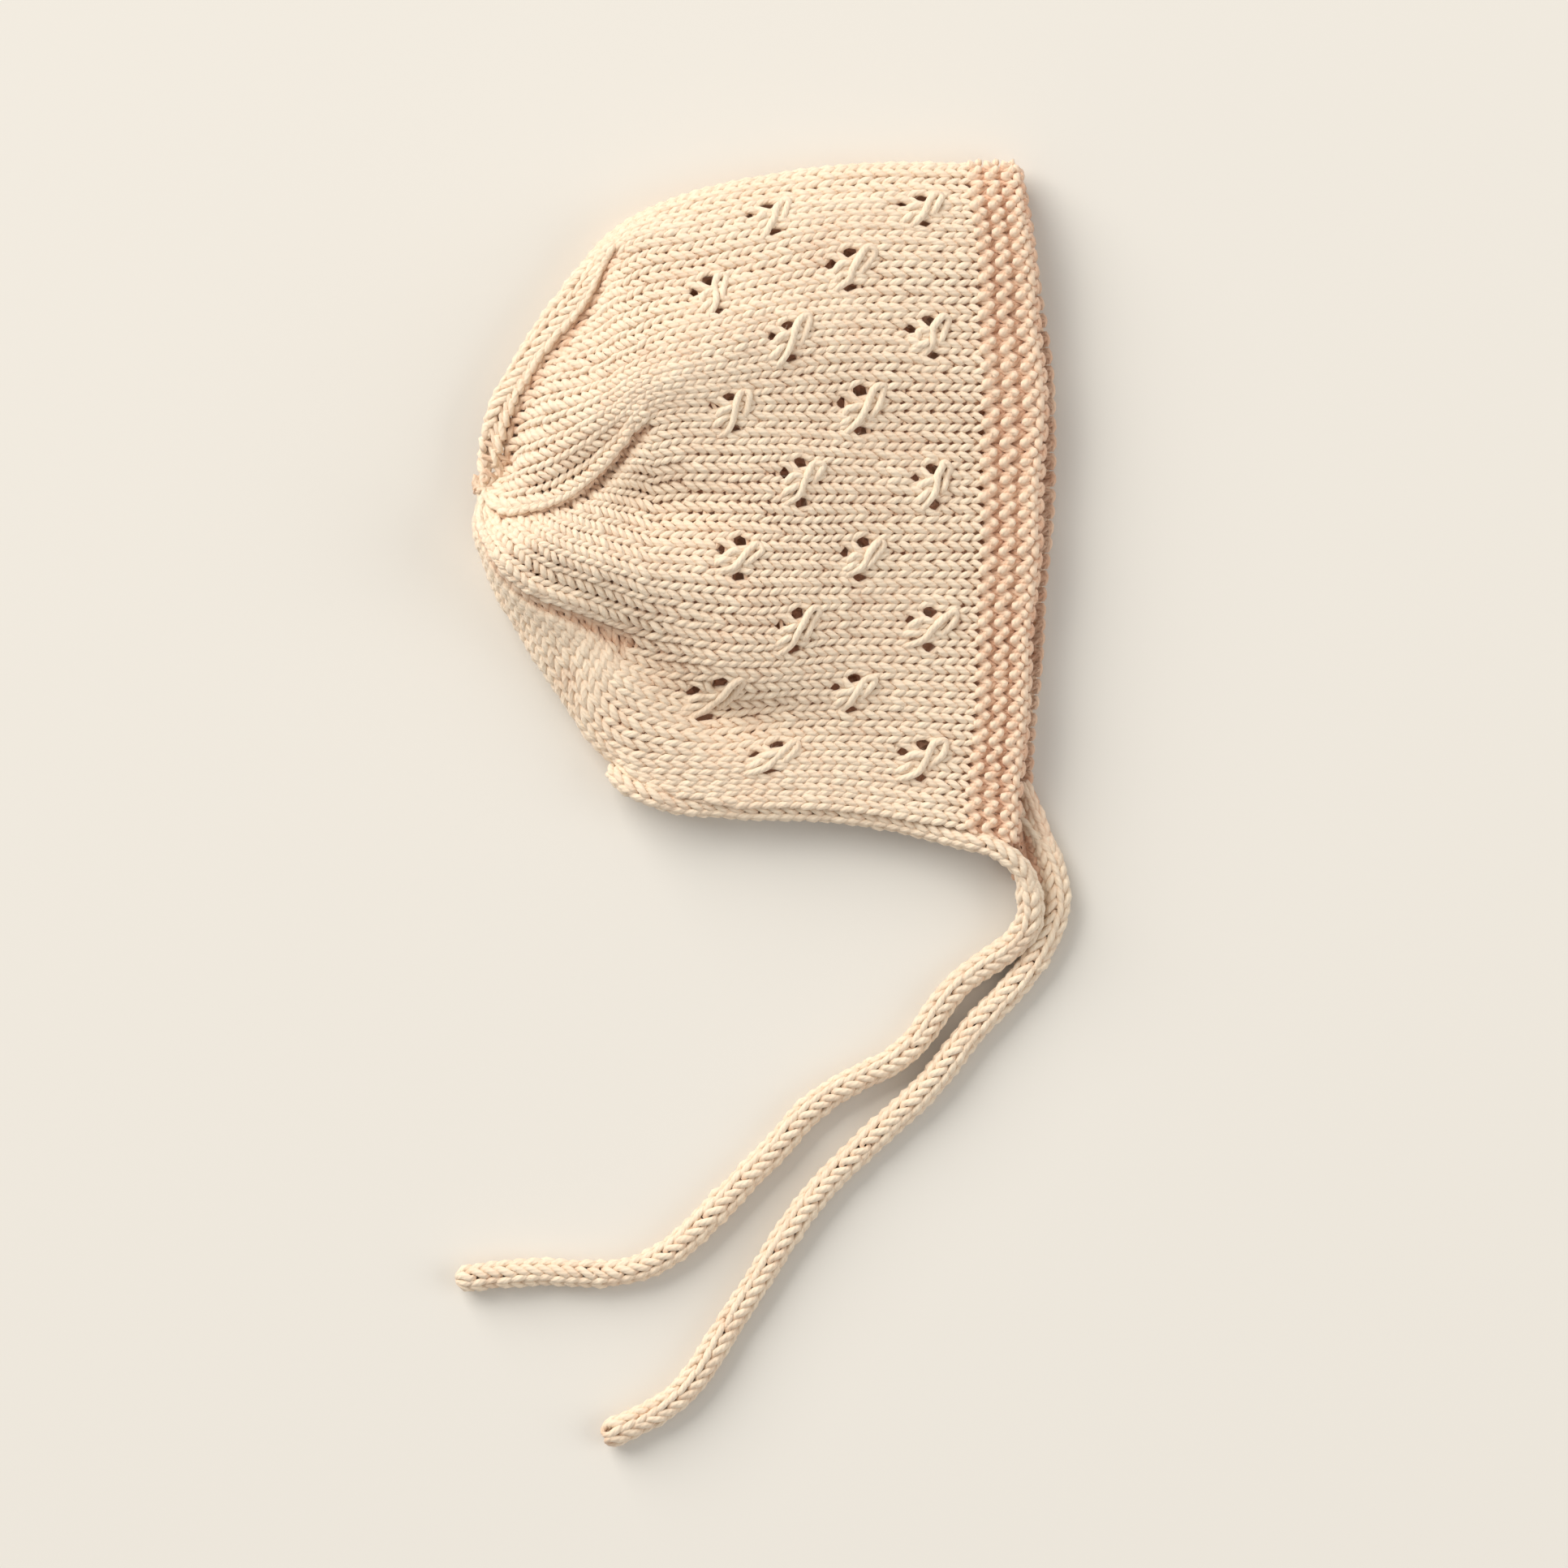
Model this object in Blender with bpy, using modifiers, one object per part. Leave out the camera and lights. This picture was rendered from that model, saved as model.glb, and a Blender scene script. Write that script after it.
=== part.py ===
"""Knitted baby bonnet with garter face band, rolled neck edging and two knitted ties.

It lies on its left side: +X is the face opening, +Y the top of the head, +Z up.
The upper layer is the side of the bonnet that shows, and the lower layer lies flat.
All lengths are in metres.
"""

import math

import bmesh
import bpy
import numpy as np
from mathutils import Vector

# Sizes of the whole bonnet as it lies.
BONNET_DEPTH = 0.1255
BONNET_HEIGHT = 0.1562
PUFF_HEIGHT = 0.0240
FACE_RIM_HEIGHT = 0.0125
NECK_RIM_HEIGHT = 0.0120

# Height of the folded outline over the surface that the bonnet lies on.
TOP_FOLD_HEIGHT = 0.0060
GATHER_HEIGHT = 0.0085
NAPE_FOLD_HEIGHT = 0.0048

# Middle of the finished box of crown, band and edging, as shares of depth and height.
MIDDLE_ACROSS = 0.5092
MIDDLE_UP = 0.4909

# How far the lower layer shows past the upper one at the face, and is drawn up at the neck.
LOWER_PEEK = 0.0025
LOWER_NECK_LIFT = 0.0105

# Knitted walls and what is worked into them.
WALL = 0.0022
GATHER_WALL = 0.0004
BAND_WALL = 0.0030
BAND_RELIEF = 0.0006
BAND_RIDGES = 3
RIB_RELIEF = 0.0010
EYELET_DIAMETER = 0.0026
EDGING_DIAMETER = 0.0044
TIE_DIAMETER = 0.0058
GAP = 0.0003

# Stitch counts: wales from the top fold to the neck edge, courses from face to gather.
SIDE_WALES = 40
BAND_COURSES = 6
FRONT_COURSES = 30
CROWN_COURSES = 22
LACE_WALES = 8
LACE_COURSES = 12
FIRST_LACE_WALE = 4
FIRST_LACE_COURSE = 4
LACE_COLUMNS = 4

COURSES = BAND_COURSES + FRONT_COURSES + CROWN_COURSES
BAND_END = BAND_COURSES / COURSES
CROWN_START = (BAND_COURSES + FRONT_COURSES) / COURSES

# Places round one side, as shares of the way from the top fold (0) to the neck edge (1).
RIB_A = 0.075
RIB_B = 0.400
RIB_C = 0.725
AROUND = (0.0, RIB_A, 0.2375, RIB_B, 0.5625, RIB_C, 0.8625, 1.0)

# Plan of the upper layer. Each row is one course line: its share of the way from the
# face edge to the gather, then the places of AROUND on it, as shares of BONNET_DEPTH
# from the back and of BONNET_HEIGHT from the neck.
# columns: along, top fold, rib A, temple, rib B, ear, rib C, nape side, neck edge
PLAN = (
    (0.0, (0.957, 0.994), (0.966, 0.944), (0.987, 0.805), (0.999, 0.638),
     (0.991, 0.468), (0.977, 0.306), (0.966, 0.171), (0.953, 0.032)),
    (BAND_END, (0.867, 0.994), (0.874, 0.944), (0.890, 0.805), (0.894, 0.638),
     (0.892, 0.468), (0.887, 0.306), (0.877, 0.175), (0.865, 0.051)),
    (0.276, (0.656, 0.993), (0.660, 0.945), (0.673, 0.806), (0.689, 0.641),
     (0.692, 0.468), (0.680, 0.310), (0.664, 0.182), (0.653, 0.079)),
    (0.483, (0.380, 0.952), (0.397, 0.912), (0.438, 0.770), (0.462, 0.638),
     (0.475, 0.471), (0.458, 0.303), (0.418, 0.185), (0.383, 0.094)),
    (CROWN_START, (0.232, 0.889), (0.250, 0.876), (0.291, 0.735), (0.313, 0.623),
     (0.320, 0.474), (0.297, 0.327), (0.265, 0.235), (0.237, 0.150)),
    (0.716, (0.151, 0.811), (0.198, 0.787), (0.232, 0.681), (0.254, 0.570),
     (0.238, 0.463), (0.199, 0.356), (0.185, 0.297), (0.158, 0.233)),
    (0.810, (0.079, 0.728), (0.122, 0.714), (0.159, 0.621), (0.188, 0.525),
     (0.159, 0.454), (0.096, 0.387), (0.096, 0.353), (0.083, 0.323)),
    (0.905, (0.024, 0.639), (0.070, 0.627), (0.093, 0.563), (0.108, 0.497),
     (0.073, 0.464), (0.026, 0.444), (0.020, 0.431), (0.020, 0.424)),
    (0.966, (0.010, 0.571), (0.050, 0.562), (0.053, 0.535), (0.044, 0.499),
     (0.024, 0.487), (0.009, 0.485), (0.004, 0.488), (0.003, 0.493)),
    (1.0,) + ((0.016, 0.535),) * 8,
)

# Soft bulges and dents of the upper layer: centre and radii as shares of BONNET_DEPTH
# (across) and BONNET_HEIGHT (up), turn in degrees, rise as a share of PUFF_HEIGHT.
# columns: name, across, up, long radius, short radius, turn, rise
FORMS = (
    ("temple bulge", 0.354, 0.704, 0.150, 0.085, 20, 0.17),
    ("dent under rib B", 0.311, 0.512, 0.130, 0.042, -6, -0.22),
    ("valley of rib B", 0.185, 0.551, 0.130, 0.034, 34, -0.16),
    ("ear bulge", 0.232, 0.422, 0.150, 0.044, -17, 0.10),
    ("nape valley", 0.311, 0.293, 0.180, 0.038, -42, -0.26),
    ("neck hollow", 0.498, 0.214, 0.110, 0.048, -20, -0.10),
)

# Share of one side that turns over the fold, on the upper and on the lower layer.
UPPER_TURN = 0.090
LOWER_TURN = 0.060
GATHER_TURN = 0.150
GATHERED_SHARE = 0.16
NAPE_CLOSING = 0.540

# How far the edging rolls under the neck edge halfway along, where it turns round the
# nape, and the spacing of a tie's points in diameters.
EDGING_TUCK = math.radians(78.0)
EDGING_TURN = 0.575
TIE_STEP = 1.5

# Holes of one lace motif, as wales down and courses back from its middle.
# columns: wales, courses
MOTIF_HOLES = ((-0.95, -0.10), (-0.10, 1.55), (1.10, -0.60))

# Ribs of the crown on each layer, as places round the side.
UPPER_RIBS = (RIB_A, RIB_B, RIB_C)

# Routes of the two ties, from the corners of the neck edging to their bound-off tips:
# shares of BONNET_DEPTH and BONNET_HEIGHT as in PLAN, and height in tie diameters.
# columns: across, up, height
TIE_UPPER_ROUTE = (
    (0.969, -0.010, 1.70), (0.978, -0.035, 1.44), (0.983, -0.060, 1.22), (0.980, -0.084, 1.04),
    (0.960, -0.107, 0.81), (0.928, -0.127, 0.63), (0.895, -0.145, 0.52), (0.836, -0.191, 0.50),
    (0.792, -0.240, 0.50), (0.744, -0.275, 0.50), (0.680, -0.304, 0.50), (0.621, -0.333, 0.50),
    (0.576, -0.363, 0.50), (0.541, -0.396, 0.50), (0.495, -0.435, 0.50), (0.446, -0.477, 0.50),
    (0.399, -0.513, 0.50), (0.354, -0.544, 0.50), (0.302, -0.569, 0.50), (0.251, -0.580, 0.50),
    (0.191, -0.581, 0.50), (0.132, -0.579, 0.50), (0.073, -0.581, 0.50), (0.020, -0.586, 0.50),
    (-0.026, -0.590, 0.50),
)
TIE_LOWER_ROUTE = (
    (0.992, 0.053, 0.50), (1.010, 0.031, 0.50), (1.023, 0.006, 0.50), (1.029, -0.022, 0.50),
    (1.031, -0.052, 0.50), (1.022, -0.084, 0.50), (1.002, -0.118, 0.50), (0.969, -0.161, 0.50),
    (0.928, -0.198, 0.50), (0.889, -0.230, 0.50), (0.851, -0.265, 0.50), (0.813, -0.304, 0.50),
    (0.775, -0.339, 0.50), (0.730, -0.371, 0.50), (0.682, -0.405, 0.50), (0.635, -0.442, 0.50),
    (0.594, -0.481, 0.50), (0.562, -0.515, 0.50), (0.532, -0.551, 0.50), (0.502, -0.590, 0.50),
    (0.472, -0.631, 0.50), (0.438, -0.673, 0.50), (0.404, -0.714, 0.50), (0.367, -0.749, 0.50),
    (0.324, -0.776, 0.50), (0.277, -0.796, 0.50), (0.223, -0.815, 0.50),
)


def share(value):
    return min(1.0, max(0.0, value))


def ease(value):
    """0 to 1 with a soft start and end."""
    value = share(value)
    return value * value * (3.0 - 2.0 * value)


def mix(low, high, amount):
    return low + (high - low) * amount


def slopes(knots, values, flat_start=False, flat_end=False):
    """Slope of a smooth curve at each of its knots."""
    knots = np.asarray(knots, float)
    values = np.asarray(values, float)
    steps = np.diff(knots)[:, None]
    rises = np.diff(values, axis=0) / steps
    found = np.empty_like(values)
    found[1:-1] = (rises[:-1] * steps[1:] + rises[1:] * steps[:-1]) / (steps[1:] + steps[:-1])
    found[0] = 0.0 if flat_start else rises[0]
    found[-1] = 0.0 if flat_end else rises[-1]
    return found


def through(knots, values, found, at):
    """Point of the smooth curve through values at its knots, with the given slopes."""
    place = int(np.clip(np.searchsorted(knots, at) - 1, 0, len(knots) - 2))
    step = knots[place + 1] - knots[place]
    t = (at - knots[place]) / step
    start, end = values[place], values[place + 1]
    return ((1 + 2 * t) * (1 - t) ** 2 * start + t * (1 - t) ** 2 * step * found[place]
            + t * t * (3 - 2 * t) * end + t * t * (t - 1) * step * found[place + 1])


ALONG = [row[0] for row in PLAN]
COURSE_POINTS = [np.array(row[1:]) for row in PLAN]
COURSE_SLOPES = [slopes(AROUND, points, True, along >= CROWN_START)
                 for along, points in zip(ALONG, COURSE_POINTS)]


def plan(around, along):
    """Place of the upper layer seen from above, from the middle of the finished box."""
    across = np.array([through(AROUND, points, found, around)
                       for points, found in zip(COURSE_POINTS, COURSE_SLOPES)])
    found = slopes(ALONG, across)
    found[-1, 0] = 0.0
    shares = through(ALONG, across, found, along)
    return (shares[0] - MIDDLE_ACROSS) * BONNET_DEPTH, (shares[1] - MIDDLE_UP) * BONNET_HEIGHT


def stitches_left(along):
    """Share of the stitches that the crown still has, down to the gather."""
    return 1.0 - (1.0 - GATHERED_SHARE) * share((along - CROWN_START) / (1.0 - CROWN_START))


def rounding(around, along, turn):
    """0 on the folded outline and at the gather, 1 where the layer lies open."""
    span = min(0.5, turn / stitches_left(along))
    closing = ease((along - NAPE_CLOSING) / (CROWN_START - NAPE_CLOSING))
    nape = (1.0 - around) / span + (1.0 - closing)
    over = math.sin(0.5 * math.pi * share(min(around / span, nape)))
    return over * math.sin(0.5 * math.pi * share((1.0 - along) / GATHER_TURN))


def form_rise(x, y):
    """What the bulges and dents add to the upper layer."""
    rise = 0.0
    for _, across, up, long_radius, short_radius, turn, part in FORMS:
        dx = x - (across - MIDDLE_ACROSS) * BONNET_DEPTH
        dy = y - (up - MIDDLE_UP) * BONNET_HEIGHT
        angle = math.radians(turn)
        u = (dx * math.cos(angle) + dy * math.sin(angle)) / (long_radius * BONNET_DEPTH)
        v = (dy * math.cos(angle) - dx * math.sin(angle)) / (short_radius * BONNET_HEIGHT)
        rise += part * math.exp(-u * u - v * v)
    return rise * PUFF_HEIGHT


def rib_rise(around, along):
    """Raised line of decreases with a groove under it."""
    crown = ease((along - CROWN_START) * CROWN_COURSES / 2.0)
    rise = 0.0
    for rib in UPPER_RIBS:
        reach = 0.014 / stitches_left(along)
        rise += math.exp(-((around - rib + reach) / reach) ** 2)
        rise -= math.exp(-((around - rib - reach) / reach) ** 2)
    return RIB_RELIEF * crown * rise


def fold_height(around, along):
    top = mix(TOP_FOLD_HEIGHT, GATHER_HEIGHT, ease((along - 0.3) / 0.7))
    nape = mix(NAPE_FOLD_HEIGHT, GATHER_HEIGHT, ease((along - CROWN_START) / (1.0 - CROWN_START)))
    return mix(top, nape, around)


def outside(around, along):
    """Outer surface: around is 0 on the top fold, 1 on the upper neck edge, -1 on the lower."""
    side = abs(around)
    x, y = plan(side, along)
    fold = fold_height(side, along)
    front = share(1.0 - along / CROWN_START)
    if around < 0.0:
        x += LOWER_PEEK * ease(side / 0.6) * front
        y += LOWER_NECK_LIFT * side * side * front
        z = fold * (1.0 - rounding(side, along, LOWER_TURN))
        return Vector((x, y, z))
    pillow = ease(along / 0.50) * ease((1.0 - side) / 0.40) * ease(side / 0.33)
    rim = mix(FACE_RIM_HEIGHT, NECK_RIM_HEIGHT, ease(along / 0.3))
    top = rim + (PUFF_HEIGHT - rim) * pillow
    top += (form_rise(x, y) + rib_rise(side, along))
    z = fold + (top - fold) * rounding(side, along, UPPER_TURN)
    return Vector((x, y, z))


def outward(around, along):
    """Outer normal, by differences along the surface."""
    step = 0.004
    low, high = max(0.0, along - step), min(1.0 - step, along + step)
    round_it = outside(min(1.0, around + step), low) - outside(max(-1.0, around - step), low)
    back = outside(around, high) - outside(around, low)
    return back.cross(round_it).normalized()


def finish(name, mesh, colour, roughness=0.9):
    """Object of this mesh, in the bonnet's collection, with its yarn's material."""
    material = bpy.data.materials.new(name + "_yarn")
    material.use_nodes = True
    shader = material.node_tree.nodes["Principled BSDF"]
    shader.inputs["Base Color"].default_value = colour
    shader.inputs["Roughness"].default_value = roughness
    shader.inputs["Metallic"].default_value = 0.0
    mesh.materials.append(material)
    piece = bpy.data.objects.new(name, mesh)
    bonnet.objects.link(piece)
    return piece


def surface_mesh(name, around_places, along_places, relief=None):
    """Open sheet over the outer surface, closed to a cap where the crown is joined."""
    shape = bmesh.new()
    weights = shape.verts.layers.deform.new()
    grid = []
    for along in along_places:
        line = []
        for around in around_places:
            point = outside(around, along)
            if relief:
                point += outward(around, along) * relief(along)
            corner = shape.verts.new(point)
            corner[weights][0] = mix(GATHER_WALL / WALL, 1.0, ease((1.0 - along) / 0.16))
            line.append(corner)
        grid.append(line)
    for one, two in zip(grid, grid[1:]):
        for a, b, c, d in zip(one, one[1:], two[1:], two):
            shape.faces.new((a, d, c, b))
    bmesh.ops.remove_doubles(shape, verts=shape.verts, dist=1e-6)
    bmesh.ops.dissolve_degenerate(shape, edges=shape.edges, dist=1e-6)
    mesh = bpy.data.meshes.new(name)
    shape.to_mesh(mesh)
    shape.free()
    return mesh


def thicken(piece, wall):
    """Wall of the given thickness, inwards from the sheet."""
    piece.vertex_groups.new(name="wall share")
    solid = piece.modifiers.new("Wall", "SOLIDIFY")
    solid.thickness = wall
    solid.offset = -1.0
    solid.vertex_group = "wall share"
    return solid


def spread(start, end, steps):
    return [mix(start, end, step / steps) for step in range(steps + 1)]


def around_columns():
    """Places round the bonnet, closer together on the ribs and over the folds."""
    side = sorted(set([0.0, 0.03, RIB_A - 0.014, RIB_A + 0.014]
                      + spread(0.145, RIB_B - 0.07, 4)
                      + [RIB_B - 0.014, RIB_B + 0.014]
                      + spread(RIB_B + 0.07, RIB_C - 0.07, 4)
                      + [RIB_C - 0.014, RIB_C + 0.014]
                      + spread(RIB_C + 0.07, 0.94, 3) + [0.975, 1.0]))
    return [-place for place in reversed(side[1:])] + side


def motif_centres():
    """Middle of each lace motif, as places round and along the bonnet, both layers."""
    centres = []
    for column in range(LACE_COLUMNS):
        course = FIRST_LACE_COURSE + column * LACE_COURSES // 2
        wale = FIRST_LACE_WALE + (column % 2) * LACE_WALES // 2
        while wale < SIDE_WALES - 2:
            for side in (1, -1):
                centres.append((side * wale, course))
            wale += LACE_WALES
    return centres


def eyelet_cutters():
    """One mesh of short hexagonal pins through the wall, one for each eyelet."""
    pins = bmesh.new()
    for wale, course in motif_centres():
        for down, back in MOTIF_HOLES:
            around = (wale + down) / SIDE_WALES
            along = (BAND_COURSES + course + back) / COURSES
            normal = outward(around, along)
            centre = outside(around, along) - normal * WALL / 2
            turn = normal.to_track_quat("Z", "X").to_matrix().to_4x4()
            turn.translation = centre
            bmesh.ops.create_cone(pins, cap_ends=True, segments=6, depth=3 * WALL,
                                  radius1=EYELET_DIAMETER / 2, radius2=EYELET_DIAMETER / 2,
                                  matrix=turn)
    mesh = bpy.data.meshes.new("eyelet_pins")
    pins.to_mesh(mesh)
    pins.free()
    cutter = bpy.data.objects.new("eyelet_pins", mesh)
    cutter.hide_render = True
    cutter.display_type = "WIRE"
    cutters.objects.link(cutter)
    return cutter


def make_crown():
    """Knitted shell of both layers, joined round the back and drawn up at the gather."""
    seam = GAP / BONNET_DEPTH
    along_places = (spread(BAND_END + seam, CROWN_START, 11)
                    + spread(CROWN_START, 1.0, 12)[1:])
    mesh = surface_mesh("crown", around_columns(), along_places)
    mesh.shade_smooth()
    piece = finish("crown", mesh, (0.84, 0.68, 0.50, 1.0))
    thicken(piece, WALL)
    cut = piece.modifiers.new("Eyelets", "BOOLEAN")
    cut.operation = "DIFFERENCE"
    cut.object = eyelet_cutters()
    return piece


def band_wave(along):
    """Garter ridges along the face, with grooves between them."""
    turns = BAND_RIDGES * along / BAND_END
    return -BAND_RELIEF * 0.5 * (1.0 + math.cos(2.0 * math.pi * turns))


def make_band():
    """Garter band round the face, in ridges that run along the edge."""
    seam = GAP / BONNET_DEPTH
    along_places = spread(0.0, BAND_END - seam, BAND_RIDGES * 4)[::2]
    mesh = surface_mesh("front_band", around_columns(), along_places, band_wave)
    mesh.shade_smooth()
    piece = finish("front_band", mesh, (0.84, 0.64, 0.47, 1.0))
    thicken(piece, BAND_WALL)
    return piece


def route_points(route, spacing):
    """Points at about this spacing on a smooth curve through the route."""
    points = (np.array(route) - (MIDDLE_ACROSS, MIDDLE_UP, 0.0))
    points *= (BONNET_DEPTH, BONNET_HEIGHT, TIE_DIAMETER)
    steps = np.linalg.norm(np.diff(points, axis=0), axis=1)
    knots = np.concatenate([[0.0], np.cumsum(steps)])
    found = slopes(knots, points)
    count = max(2, round(knots[-1] / spacing))
    places = [Vector(through(knots, points, found, knots[-1] * i / count)) for i in range(count + 1)]
    for place in places:
        place.z = max(place.z, TIE_DIAMETER / 2)
    return places


def tube(name, points, diameter, colour):
    """Round solid along the points, with closed ends."""
    line = bpy.data.curves.new(name, "CURVE")
    line.dimensions = "3D"
    line.bevel_depth = diameter / 2
    line.bevel_resolution = 2
    line.use_fill_caps = True
    line.twist_mode = "Z_UP"
    spline = line.splines.new("POLY")
    spline.points.add(len(points) - 1)
    for place, point in zip(spline.points, points):
        place.co = (*point, 1.0)
    return finish(name, line, colour)


def edging_point(around, along):
    """Middle of the rolled edging beside or under the neck edge."""
    step = 0.01
    run = outside(around, along + step) - outside(around, along - step)
    beside = Vector((-run.y, run.x, 0.0)).normalized()
    wall = BAND_WALL if along < BAND_END + step else WALL
    tuck = 0.0
    if around > 0.0:
        tuck = EDGING_TUCK * ease(along / 0.22) * ease((0.56 - along) / 0.12)
    reach = EDGING_DIAMETER / 2 + 2 * GAP + wall / 2 * math.sin(tuck)
    down = Vector((0.0, 0.0, -1.0))
    middle = outside(around, along) + down * wall / 2 * around
    middle += (beside * math.cos(tuck) + down * math.sin(tuck)) * reach
    middle.z = max(middle.z, EDGING_DIAMETER / 2)
    return middle


def make_edging(upper_tie, lower_tie):
    """Rolled strip along the whole neck edge, from one tie round the nape to the other."""
    places = spread(0.055, EDGING_TURN, 14)
    upper = [edging_point(1.0, along) for along in places]
    lower = [edging_point(-1.0, along) for along in reversed(places)]
    middle = (upper[-1] + lower[0]) / 2
    back = outside(1.0, CROWN_START) - outside(1.0, EDGING_TURN)
    back.z = 0.0
    back = back.normalized() * (upper[-1] - lower[0]).length / 2
    nape = []
    for quarter in (1, 2, 3):
        angle = math.pi * quarter / 4
        nape.append(middle + (upper[-1] - middle) * math.cos(angle) + back * math.sin(angle))
    ends = []
    for tie in (upper_tie, lower_tie):
        lead = (tie[1] - tie[0]).normalized()
        ends.append((tie[0] - lead * GAP, tie[0] - lead * EDGING_DIAMETER / 2))
    path = list(ends[0]) + upper + nape + lower + list(reversed(ends[1]))
    return tube("neck_edging", path, EDGING_DIAMETER, (0.82, 0.65, 0.48, 1.0))


for old in list(bpy.data.objects):
    bpy.data.objects.remove(old)
bonnet = bpy.data.collections.new("baby_bonnet")
cutters = bpy.data.collections.new("cutters")
bpy.context.scene.collection.children.link(bonnet)
bpy.context.scene.collection.children.link(cutters)

make_crown()
make_band()
upper_tie = route_points(TIE_UPPER_ROUTE, TIE_DIAMETER * TIE_STEP)
lower_tie = route_points(TIE_LOWER_ROUTE, TIE_DIAMETER * TIE_STEP)
make_edging(upper_tie, lower_tie)
tube("tie_upper", upper_tie, TIE_DIAMETER, (0.84, 0.66, 0.48, 1.0))
tube("tie_lower", lower_tie, TIE_DIAMETER, (0.84, 0.66, 0.48, 1.0))
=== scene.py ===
import math

import bpy
import numpy as np
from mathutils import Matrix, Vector


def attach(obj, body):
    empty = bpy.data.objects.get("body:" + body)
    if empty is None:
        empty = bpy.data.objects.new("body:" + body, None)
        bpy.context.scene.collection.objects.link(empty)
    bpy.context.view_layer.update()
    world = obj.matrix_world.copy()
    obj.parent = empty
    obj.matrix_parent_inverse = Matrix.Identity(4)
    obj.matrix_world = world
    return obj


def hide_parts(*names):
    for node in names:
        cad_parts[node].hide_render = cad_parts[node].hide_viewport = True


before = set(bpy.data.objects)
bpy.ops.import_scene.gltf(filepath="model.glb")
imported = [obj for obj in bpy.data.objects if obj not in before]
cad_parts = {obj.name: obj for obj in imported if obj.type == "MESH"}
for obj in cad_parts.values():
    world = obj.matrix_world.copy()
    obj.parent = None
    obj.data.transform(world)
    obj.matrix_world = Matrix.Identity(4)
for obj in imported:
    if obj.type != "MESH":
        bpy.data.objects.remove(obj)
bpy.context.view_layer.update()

# Sizes of the bonnet, the same as in its CAD part, in metres.
BONNET_DEPTH = 0.1255
BONNET_HEIGHT = 0.1562
MIDDLE_ACROSS = 0.5092
MIDDLE_UP = 0.4909
PUFF_HEIGHT = 0.0240
FACE_RIM_HEIGHT = 0.0125
NECK_RIM_HEIGHT = 0.0120
TOP_FOLD_HEIGHT = 0.0060
GATHER_HEIGHT = 0.0085
NAPE_FOLD_HEIGHT = 0.0048
LOWER_PEEK = 0.0025
LOWER_NECK_LIFT = 0.0105
WALL = 0.0022
RIB_RELIEF = 0.0010
EDGING_DIAMETER = 0.0044
TIE_DIAMETER = 0.0058

# Stitch counts.
SIDE_WALES = 40
BAND_COURSES = 6
FRONT_COURSES = 30
CROWN_COURSES = 22
LACE_WALES = 8
LACE_COURSES = 12
FIRST_LACE_WALE = 4
FIRST_LACE_COURSE = 4
LACE_COLUMNS = 4
COURSES = BAND_COURSES + FRONT_COURSES + CROWN_COURSES
CROWN_FIRST = BAND_COURSES + FRONT_COURSES
CROWN_START = CROWN_FIRST / COURSES

# The yarn, and a stitch of it: width, height.
YARN = 0.00172
STITCH_WIDTH = 0.0038
STITCH_HEIGHT = 0.0025
STITCH_POINTS = 12
YARN_SIDES = 6
STRAND_POINTS = 34

# Knitted cords: length of a course, radius of the ring of yarn, and its wales.
CORD_COURSE = 0.0030
EDGING_RING_RADIUS = 0.00135
EDGING_WALES = 3
TIE_RING_RADIUS = 0.0021
TIE_WALES = 4
CORNER_COURSES = 8

# Loose fibre on the yarn.
FIBRE_WIDTH = 0.00005
FIBRES = 40000

# What the photo takes in, and the camera's height.
PHOTO_WIDTH = 0.3478
CAMERA_HEIGHT = 2.5

RIB_WALES = (3, 16, 29, 42, 55, 69)
AROUND = (0.0, 0.075, 0.2375, 0.400, 0.5625, 0.725, 0.8625, 1.0)
# columns: along, then the places of AROUND as shares of depth and height
PLAN = (
    (0.0, (0.957, 0.994), (0.966, 0.944), (0.987, 0.805), (0.999, 0.638),
     (0.991, 0.468), (0.977, 0.306), (0.966, 0.171), (0.953, 0.032)),
    (BAND_COURSES / COURSES, (0.867, 0.994), (0.874, 0.944), (0.890, 0.805), (0.894, 0.638),
     (0.892, 0.468), (0.887, 0.306), (0.877, 0.175), (0.865, 0.051)),
    (0.276, (0.656, 0.993), (0.660, 0.945), (0.673, 0.806), (0.689, 0.641),
     (0.692, 0.468), (0.680, 0.310), (0.664, 0.182), (0.653, 0.079)),
    (0.483, (0.380, 0.952), (0.397, 0.912), (0.438, 0.770), (0.462, 0.638),
     (0.475, 0.471), (0.458, 0.303), (0.418, 0.185), (0.383, 0.094)),
    (CROWN_START, (0.232, 0.889), (0.250, 0.876), (0.291, 0.735), (0.313, 0.623),
     (0.320, 0.474), (0.297, 0.327), (0.265, 0.235), (0.237, 0.150)),
    (0.716, (0.151, 0.811), (0.198, 0.787), (0.232, 0.681), (0.254, 0.570),
     (0.238, 0.463), (0.199, 0.356), (0.185, 0.297), (0.158, 0.233)),
    (0.810, (0.079, 0.728), (0.122, 0.714), (0.159, 0.621), (0.188, 0.525),
     (0.159, 0.454), (0.096, 0.387), (0.096, 0.353), (0.083, 0.323)),
    (0.905, (0.024, 0.639), (0.070, 0.627), (0.093, 0.563), (0.108, 0.497),
     (0.073, 0.464), (0.026, 0.444), (0.020, 0.431), (0.020, 0.424)),
    (0.966, (0.010, 0.571), (0.050, 0.562), (0.053, 0.535), (0.044, 0.499),
     (0.024, 0.487), (0.009, 0.485), (0.004, 0.488), (0.003, 0.493)),
    (1.0,) + ((0.016, 0.535),) * 8,
)
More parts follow.
